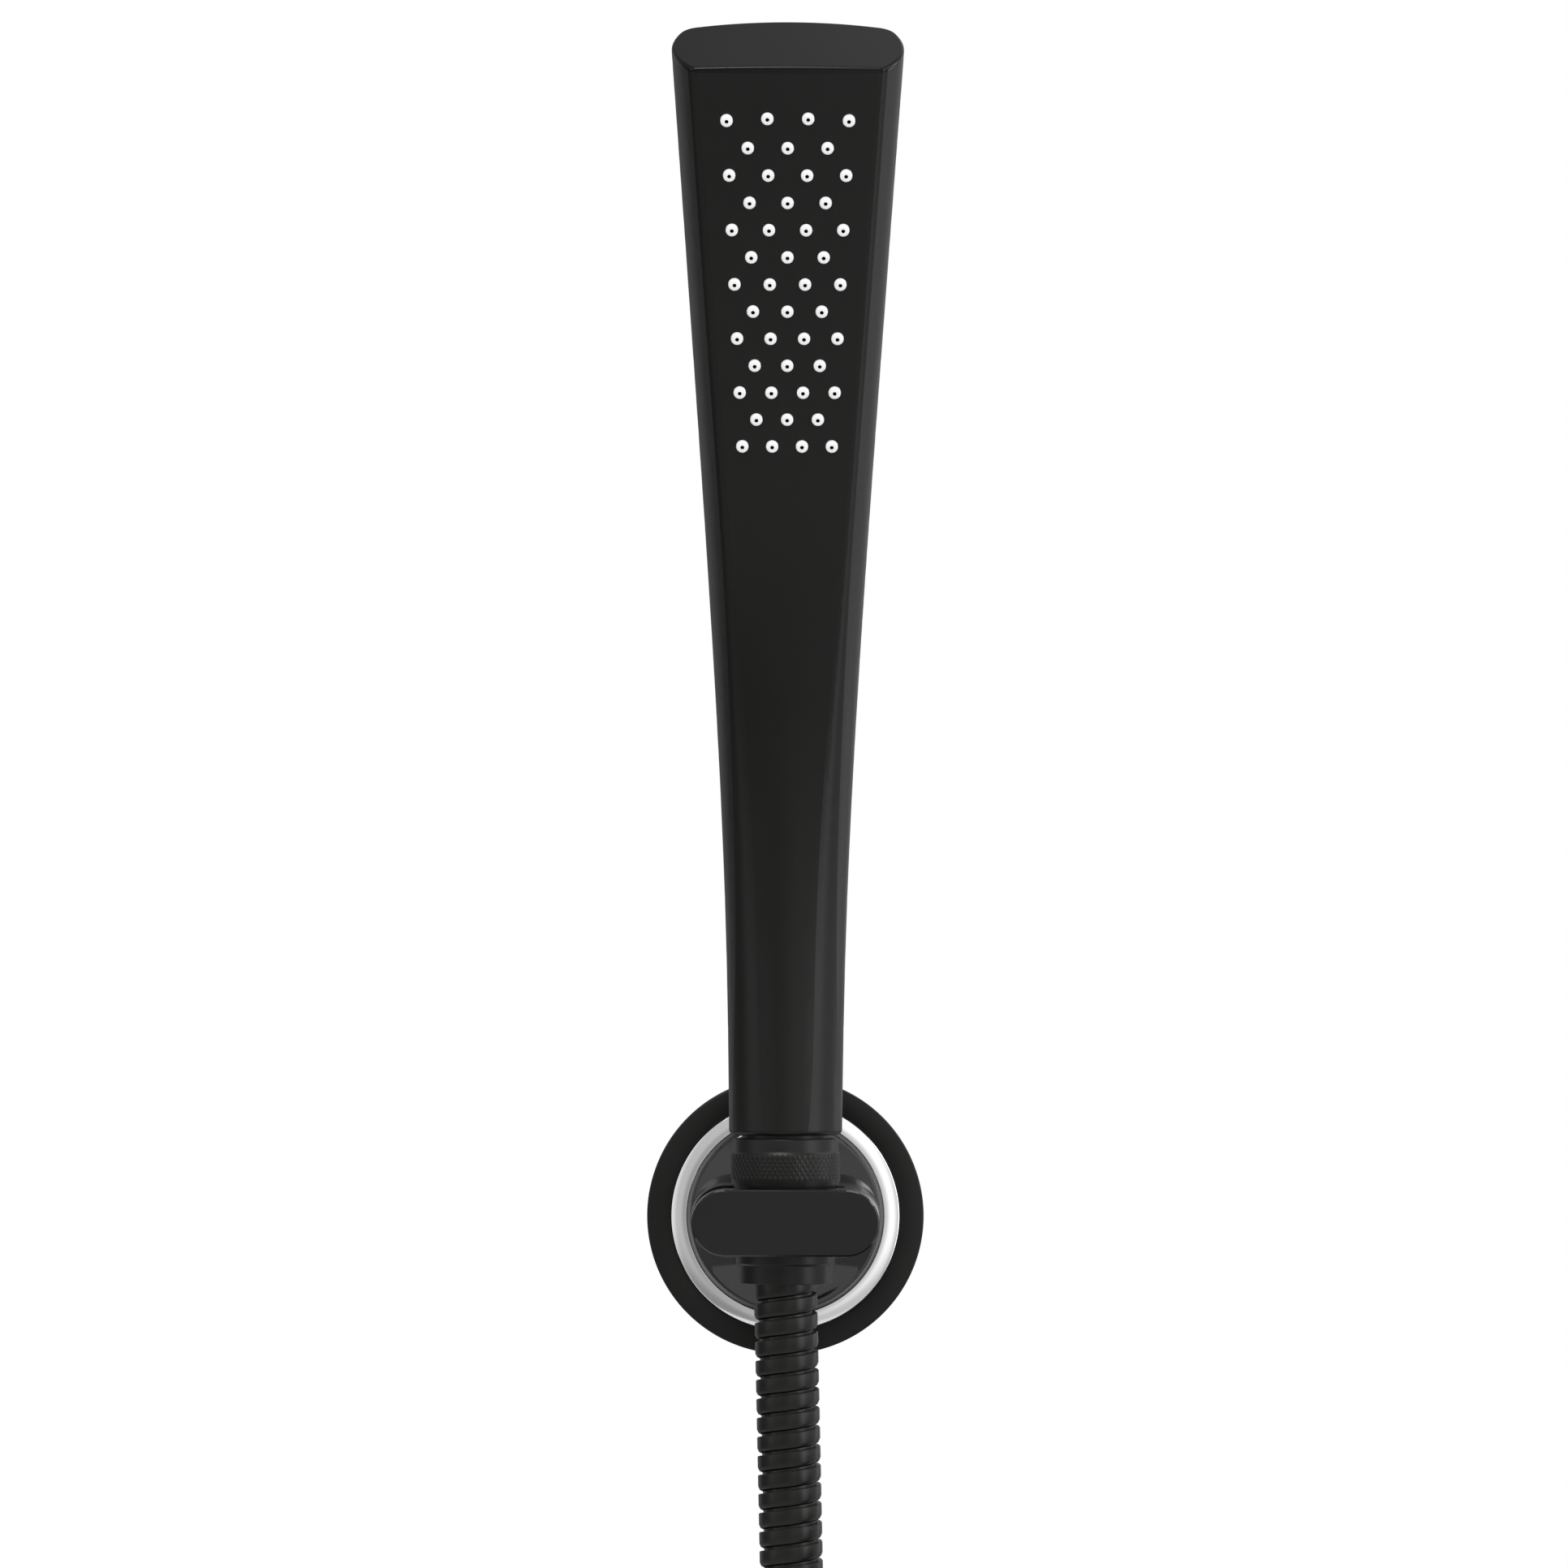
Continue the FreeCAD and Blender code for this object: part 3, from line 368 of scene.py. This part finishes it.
holder_shader.inputs["Coat IOR"].default_value = LACQUER_IOR
give(holder_gloss, "holder_arm")
give(satin_coat, "seat_liner")
give(zinc_steel, "arm_screws", "retaining_screw")

# ---------------------------------------------------------------------------------
# Cone nut: the hose's upper nut in satin black, a plain collar above and a wider grip
# band with a fine diamond knurl below, then the cone that sits in the holder.
SEAT_Y = -44.0
NUT_OUTLINE = (
    (10.53, 18.6), (10.53, -1.2),                      # thread, down to its floor
    (7.7, -1.2), (7.7, -14.0),                         # throat that the hose comes out of
    (10.54, -14.0), (10.54, -9.8), (11.05, -9.5),      # foot, a step narrower than the cone
    (11.57, 7.4),                                      # cone that sits in the holder
    (12.22, 9.2), (12.22, 15.0),                       # grip band
    (11.8, 15.7), (11.8, 18.6))                        # collar


def knurl_band(name, around, rows, radius, low, high, rise, place):
    """Rings of small four-sided points in mm, each row turned half a step from the last."""
    row_pitch = (high - low) / (rows - 1)
    bpy.ops.object.select_all(action="DESELECT")
    bpy.ops.mesh.primitive_cone_add(vertices=4, radius1=row_pitch * MM, radius2=0,
                                    depth=rise * MM, end_fill_type="NGON")
    point = bpy.context.object
    point.name = name
    around_pitch = 2 * math.pi * radius / around
    point.scale = (around_pitch / (2 * row_pitch), 1, 1)
    bpy.ops.object.transform_apply(location=False, rotation=False, scale=True)
    pattern = point.data
    bpy.data.objects.remove(point)
    copies = []
    for row in range(rows):
        for step in range(around):
            turn = 2 * math.pi * (step + 0.5 * (row % 2)) / around
            copy = bpy.data.objects.new(name, pattern.copy())
            lie_out = Matrix.Rotation(math.radians(90), 4, "X")
            out = Matrix.Translation((0, -(radius + rise / 2) * MM, (low + row * row_pitch) * MM))
            copy.data.transform(place @ Matrix.Rotation(turn, 4, "Z") @ out @ lie_out)
            studio.collection.objects.link(copy)
            copies.append(copy)
    for copy in copies:
        copy.select_set(True)
    bpy.context.view_layer.objects.active = copies[0]
    bpy.ops.object.join()
    return bpy.context.object


def join_pieces(kept, *others):
    """Join the other pieces into the kept one."""
    bpy.ops.object.select_all(action="DESELECT")
    for other in others:
        other.select_set(True)
    kept.select_set(True)
    bpy.context.view_layer.objects.active = kept
    bpy.ops.object.join()


nut_place = Matrix.Translation((0, SEAT_Y * MM, 0))
cone_nut = turned_piece("hose_cone_nut", NUT_OUTLINE, nut_place, edge_round=0.25, segments=144)
nut_knurl = knurl_band("nut_knurl", around=64, rows=6, radius=12.2, low=9.9, high=14.5,
                       rise=0.14, place=nut_place)
join_pieces(cone_nut, nut_knurl)
cone_nut.data.materials.append(satin_coat)
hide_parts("cone_nut")
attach(cone_nut, "cone_nut")

# ---------------------------------------------------------------------------------
# Hose end: a brass insert with its flange inside the nut, the crimped steel sleeve
# around it, and two washers: rubber towards the handset, plastic under the flange.
turned_brass = finish_of("turned_brass", (0.6, 0.42, 0.2), 0.3, 1500, 0.00001, metallic=1.0)
black_sleeve = finish_of("black_sleeve", (0.008, 0.008, 0.008), 0.4, 2600, 0.00002, gleam=0.15)
slip_plastic = finish_of("slip_plastic", (0.6, 0.6, 0.57), 0.5, 1600, 0.00001)
give(turned_brass, "hose_end_insert")
give(black_sleeve, "hose_end_sleeve")
give(black_rubber, "inlet_washer")
give(slip_plastic, "swivel_washer")

# ---------------------------------------------------------------------------------
# Hose: a 1.5 m metal shower hose. A black steel strip is wound around it and folded
# into itself, and each turn has a crisp edge above and a rounded one below. It hangs
# from the nut and the rest is put away in a coil, with its far end standing up.
HOSE_TOP = (0, -44.0, -13.9)
HOSE_LOW = (3.4, -44.0, -150.0)
COIL_CENTRE = (84.0, -171.1)
COIL_R = 82.0
COIL_PITCH = 15.0
COIL_TURNS = 2.5
TURN_POINTS = 16
TAIL_TOP = (166.0, -81.5, -121.1)
STRIP_PITCH = 4.27
STRIP_STEPS = 24
STRIP_LEAD = 30                # steps of the strip that are hidden in each end sleeve
STRIP_OUTLINE = ((-1.8, 5.8), (-1.8, 6.95), (-1.65, 7.1), (0.75, 7.1), (1.55, 6.75), (2.05, 5.8))
STRIP_SMOOTH_TO = math.radians(32)
CORE_R = 6.05
CORE_SIDES = 20

route_points = [HOSE_TOP, HOSE_LOW]
control_r = COIL_R / math.cos(math.pi / TURN_POINTS)
for step in range(int(COIL_TURNS * TURN_POINTS)):
    turns = (step + 0.5) / TURN_POINTS
    angle = math.pi + 2 * math.pi * turns
    route_points.append((COIL_CENTRE[0] + control_r * math.cos(angle),
                         SEAT_Y - COIL_PITCH * turns,
                         COIL_CENTRE[1] + control_r * math.sin(angle)))
route_points.append(TAIL_TOP)


def smooth_line(points):
    """Points along the smooth spline through a route given in millimetres."""
    curve = bpy.data.curves.new("hose_route", "CURVE")
    curve.dimensions = "3D"
    curve.resolution_u = 16
    spline = curve.splines.new("NURBS")
    spline.points.add(len(points) - 1)
    for control, place in zip(spline.points, points):
        control.co = [c * MM for c in place] + [1]
    spline.order_u = 3
    spline.use_endpoint_u = True
    route = bpy.data.objects.new("hose_route", curve)
    studio.collection.objects.link(route)
    bpy.context.view_layer.update()
    line = bpy.data.meshes.new_from_object(route)
    places = [vertex.co.copy() for vertex in line.vertices]
    bpy.data.objects.remove(route)
    return places


def even_line(places, pitch):
    """The same line with points an even step apart."""
    even = [places[0].copy()]
    left = pitch
    for start, end in zip(places, places[1:]):
        run = (end - start).length
        done = 0.0
        while run - done >= left:
            done += left
            even.append(start.lerp(end, done / run))
            left = pitch
        left -= run - done
    return even


def frames_along(places):
    """Tangent and two square directions at each point, without twist."""
    frames = []
    side = Vector((1, 0, 0))
    for index, place in enumerate(places):
        before = places[max(index - 1, 0)]
        after = places[min(index + 1, len(places) - 1)]
        tangent = (after - before).normalized()
        side = (side - tangent * side.dot(tangent)).normalized()
        frames.append((tangent, side, tangent.cross(side)))
    return frames


def skin(name, rings):
    """Closed mesh through a row of equal rings of points."""
    size = len(rings[0])
    corners = [point for ring in rings for point in ring]
    faces = []
    for row in range(len(rings) - 1):
        for k in range(size):
            low, low_next = row * size + k, row * size + (k + 1) % size
            faces.append((low, low_next, low_next + size, low + size))
    faces.append(tuple(range(size)))
    faces.append(tuple(reversed(range(len(corners) - size, len(corners)))))
    shape = bpy.data.meshes.new(name)
    shape.from_pydata(corners, [], faces)
    piece = bpy.data.objects.new(name, shape)
    studio.collection.objects.link(piece)
    bpy.ops.object.select_all(action="DESELECT")
    piece.select_set(True)
    bpy.context.view_layer.objects.active = piece
    bpy.ops.object.mode_set(mode="EDIT")
    bpy.ops.mesh.select_all(action="SELECT")
    bpy.ops.mesh.normals_make_consistent(inside=False)
    bpy.ops.object.mode_set(mode="OBJECT")
    return piece


route_line = smooth_line(route_points)
core_line = even_line(route_line, STRIP_PITCH * MM)
core_rings = []
for place, (tangent, side, across) in zip(core_line, frames_along(core_line)):
    ring = []
    for k in range(CORE_SIDES):
        turn = 2 * math.pi * k / CORE_SIDES
        ring.append(place + (side * math.cos(turn) + across * math.sin(turn)) * CORE_R * MM)
    core_rings.append(ring)
hose = skin("metal_hose", core_rings)

strip_line = even_line(route_line, STRIP_PITCH * MM / STRIP_STEPS)
strip_frames = frames_along(strip_line)
strip_rings = []
for index in range(-STRIP_LEAD, len(strip_line) + STRIP_LEAD):
    nearest = min(max(index, 0), len(strip_line) - 1)
    tangent, side, across = strip_frames[nearest]
    place = strip_line[nearest] + tangent * ((index - nearest) * STRIP_PITCH / STRIP_STEPS * MM)
    turn = 2 * math.pi * index / STRIP_STEPS
    out = side * math.cos(turn) + across * math.sin(turn)
    strip_rings.append([place + tangent * (along * MM) + out * (r * MM)
                        for along, r in STRIP_OUTLINE])
strip = skin("hose_strip", strip_rings)
join_pieces(hose, strip)
bpy.ops.object.shade_smooth_by_angle(angle=STRIP_SMOOTH_TO)
hose_coat = finish_of("hose_coat", (0.0055, 0.0055, 0.005), 0.32, 2600, 0.00002, gleam=0.3)
hose.data.materials.append(hose_coat)
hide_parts("hose_tube", "hose_coil")
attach(hose, "handset")

# ---------------------------------------------------------------------------------
# Supply end: the hose's other end, with the same insert, sleeve and washer, and a
# round knurled nut that screws onto the mixer's half-inch outlet.
SUPPLY_NUT_OUTLINE = (
    (7.7, 12.0),                                       # throat
    (12.1, 12.0), (12.1, 27.5),                        # grip
    (10.53, 27.5), (10.53, 20.0),                      # thread
    (10.93, 20.0), (10.93, 15.5), (7.7, 15.5))         # relief behind the thread
supply_place = Matrix.Translation(Vector(TAIL_TOP) * MM)
supply_nut = turned_piece("supply_grip_nut", SUPPLY_NUT_OUTLINE, supply_place, edge_round=0.3,
                          segments=128)
supply_knurl = knurl_band("supply_knurl", around=62, rows=12, radius=12.08, low=14.0, high=25.6,
                          rise=0.2, place=supply_place)
join_pieces(supply_nut, supply_knurl)
supply_nut.data.materials.append(satin_coat)
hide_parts("supply_end_nut")
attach(supply_nut, "supply_nut")
give(black_sleeve, "supply_end_sleeve")
give(turned_brass, "supply_end_insert")
give(black_rubber, "supply_end_washer")

# ---------------------------------------------------------------------------------
# Hose tie: a grey strip of hook-and-loop tape, closed around the three passes of the
# coil at its lower left.
loop_tape = finish_of("loop_tape", (0.05, 0.05, 0.05), 0.75, 2200, 0.00006, gleam=0.2)
give(loop_tape, "hose_tie")

# ---------------------------------------------------------------------------------
# Inlet: the turned connector that closes the handset's foot, in satin black, with its
# strainer disc and the small flow limiter above it.
give(satin_coat, "inlet_connector")
give(zinc_steel, "inlet_strainer")
give(slip_plastic, "flow_limiter")

# ---------------------------------------------------------------------------------
# Handset shell: one hollow moulding that widens from the round handle to the flat
# oblong head, coated satin black all over.
shell_coat = finish_of("shell_coat", (0.003, 0.003, 0.0026), 0.37, 3200, 0.00002, gleam=0.27)
give(shell_coat, "handset_shell")

# ---------------------------------------------------------------------------------
# Water way: inside the shell a plastic tube leads up the handle to the spray chamber,
# whose cover, seal and jet plate lie behind the nozzles.
give(slip_plastic, "water_tube", "cartridge_cover", "jet_plate")
give(black_rubber, "tube_o_rings", "chamber_seal")

# ---------------------------------------------------------------------------------
# Nozzles: one white silicone mat behind the spray face, with 46 soft round tips that
# stand through the shell's holes. Each tip has a rounded lip and a bore whose inside carries
# painted shade: near-black, where the silicone itself is white.
white_silicone = finish_of("white_silicone", (0.9, 0.9, 0.9), 0.5, 2000, 0.00001, mottle=0.015)
# Painted shade: a near-black finish for the walls and floor of each tip's bore, standing in for
# the shade deep in the small hole.
painted_bore_shade = finish_of("painted_bore_shade", (0.03, 0.03, 0.03), 0.8, 2000, 0.00001)
LEAN = math.radians(24.0)
BODY_FOOT_Z = 19.45
LOWER_RUN = 30.0
BEND_R = 290.0
HEAD_RUN = 100.35
HEAD_HALF_T = 14.0
head_end = Vector((0, SEAT_Y - BEND_R * (1 - math.cos(LEAN)) - HEAD_RUN * math.sin(LEAN),
                   BODY_FOOT_Z + LOWER_RUN + BEND_R * math.sin(LEAN)
                   + HEAD_RUN * math.cos(LEAN)))
HEAD_PLACE = (Matrix.Translation(head_end * MM) @ Matrix.Rotation(LEAN, 4, "X")
              @ Matrix.Rotation(math.radians(90), 4, "X"))
NOZZLE_R = 1.36
NOZZLE_BORE_R = 0.45
NOZZLE_PROUD = 0.9
NOZZLE_ROOT = 0.4              # how far a tip reaches down into the mat
NOZZLE_SIDES = 20
LIP_ROUND = 0.35
BORE_DEPTH = 1.6
FACING_UP = 0.99
TOP_MARGIN = 0.01
MAT_FRONT = 11.8
MAT_T = 1.5
NOZZLE_ROWS = 13
WIDE_ROW = 4                   # tips in the first row and every second one after it
NARROW_ROW = 3
ROW_PITCH = 6.43
FIRST_ROW = 10.9
TOP_SPACING = 8.94
SPACING_STEP = 0.195
TOP_ROW_ARCH = 0.45


def nozzle_tip():
    """One tip with its axis along Z: rounded rim, and a bore sunk into its end."""
    low, high = MAT_FRONT - NOZZLE_ROOT, HEAD_HALF_T + NOZZLE_PROUD
    bpy.ops.object.select_all(action="DESELECT")
    bpy.ops.mesh.primitive_cylinder_add(vertices=NOZZLE_SIDES, radius=NOZZLE_R * MM,
                                        depth=(high - low) * MM,
                                        location=(0, 0, (high + low) / 2 * MM))
    tip = bpy.context.object
    tip.name = "nozzle_tip"
    bpy.ops.object.transform_apply(location=True, rotation=True, scale=True)
    bpy.ops.object.mode_set(mode="EDIT")
    bpy.ops.mesh.select_all(action="DESELECT")
    bpy.ops.object.mode_set(mode="OBJECT")
    for face in tip.data.polygons:
        face.select = face.normal.z > FACING_UP
    bpy.ops.object.mode_set(mode="EDIT")
    bpy.ops.mesh.select_mode(type="FACE")
    bpy.ops.mesh.bevel(offset=LIP_ROUND * MM, segments=3)
    bpy.ops.object.mode_set(mode="OBJECT")
    for face in tip.data.polygons:
        face.select = face.normal.z > FACING_UP and face.center.z > (high - TOP_MARGIN) * MM
    bpy.ops.object.mode_set(mode="EDIT")
    bpy.ops.mesh.inset(thickness=(NOZZLE_R - LIP_ROUND - NOZZLE_BORE_R) * MM, depth=0)
    bpy.ops.mesh.extrude_region_move(TRANSFORM_OT_translate={"value": (0, 0, -BORE_DEPTH * MM)})
    bpy.ops.mesh.select_mode(type="VERT")
    bpy.ops.object.mode_set(mode="OBJECT")
    tip.data.materials.append(white_silicone)
    tip.data.materials.append(painted_bore_shade)
    # Painted shade: the faces inside the bore take the near-black second finish, the rest stays
    # white silicone.
    for face in tip.data.polygons:
        spot = math.hypot(face.center.x, face.center.y)
        face.material_index = 1 if spot < NOZZLE_BORE_R * MM and face.center.z > low * MM else 0
    bpy.ops.object.shade_smooth_by_angle(angle=SMOOTH_TO)
    return tip


tip_pattern = nozzle_tip()
tips = []
for row in range(NOZZLE_ROWS):
    count = WIDE_ROW if row % 2 == 0 else NARROW_ROW
    spacing = TOP_SPACING - SPACING_STEP * row
    for k in range(count):
        u = (k - (count - 1) / 2) * spacing
        arch = TOP_ROW_ARCH if row == 0 and abs(u) < spacing else 0.0
        along = FIRST_ROW + row * ROW_PITCH - arch
        tip = bpy.data.objects.new("nozzle_tip", tip_pattern.data.copy())
        tip.data.transform(HEAD_PLACE @ Matrix.Translation((u * MM, -along * MM, 0)))
        studio.collection.objects.link(tip)
        tips.append(tip)
bpy.data.objects.remove(tip_pattern)

MAT_TOP = 6.0
MAT_MARGIN = 8.5               # sheet below the last row
MAT_LOW = FIRST_ROW + (NOZZLE_ROWS - 1) * ROW_PITCH + MAT_MARGIN
MAT_TOP_HALF = 18.6
MAT_LOW_HALF = 13.4
bpy.ops.object.select_all(action="DESELECT")
bpy.ops.mesh.primitive_cube_add(size=1, location=(0, -(MAT_TOP + MAT_LOW) / 2 * MM,
                                                  (MAT_FRONT - MAT_T / 2) * MM))
nozzle_mat = bpy.context.object
nozzle_mat.name = "silicone_nozzles"
nozzle_mat.scale = (2 * MAT_TOP_HALF * MM, (MAT_LOW - MAT_TOP) * MM, MAT_T * MM)
bpy.ops.object.transform_apply(location=True, rotation=True, scale=True)
for corner in nozzle_mat.data.vertices:
    corner.select = corner.co.y < -(MAT_TOP + MAT_LOW) / 2 * MM
bpy.ops.object.mode_set(mode="EDIT")
bpy.ops.mesh.select_mode(type="VERT")
bpy.ops.transform.resize(value=(MAT_LOW_HALF / MAT_TOP_HALF, 1, 1), center_override=(0, 0, 0))
bpy.ops.object.mode_set(mode="OBJECT")
nozzle_mat.matrix_world = HEAD_PLACE
bpy.ops.object.transform_apply(location=True, rotation=True, scale=True)
nozzle_mat.data.materials.append(white_silicone)
nozzle_mat.data.materials.append(painted_bore_shade)
join_pieces(nozzle_mat, *tips)
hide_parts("nozzle_mat")
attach(nozzle_mat, "handset")

# ---------------------------------------------------------------------------------
# End cap: the slightly crowned plate that closes the top of the head, a little glossier
# than the shell, with a rounded edge, pressed in over a rubber seal.
cap_coat = finish_of("cap_coat", (0.003, 0.003, 0.003), 0.2, 3200, 0.000012, gleam=0.21)
give(cap_coat, "end_cap")
give(black_rubber, "end_cap_seal")
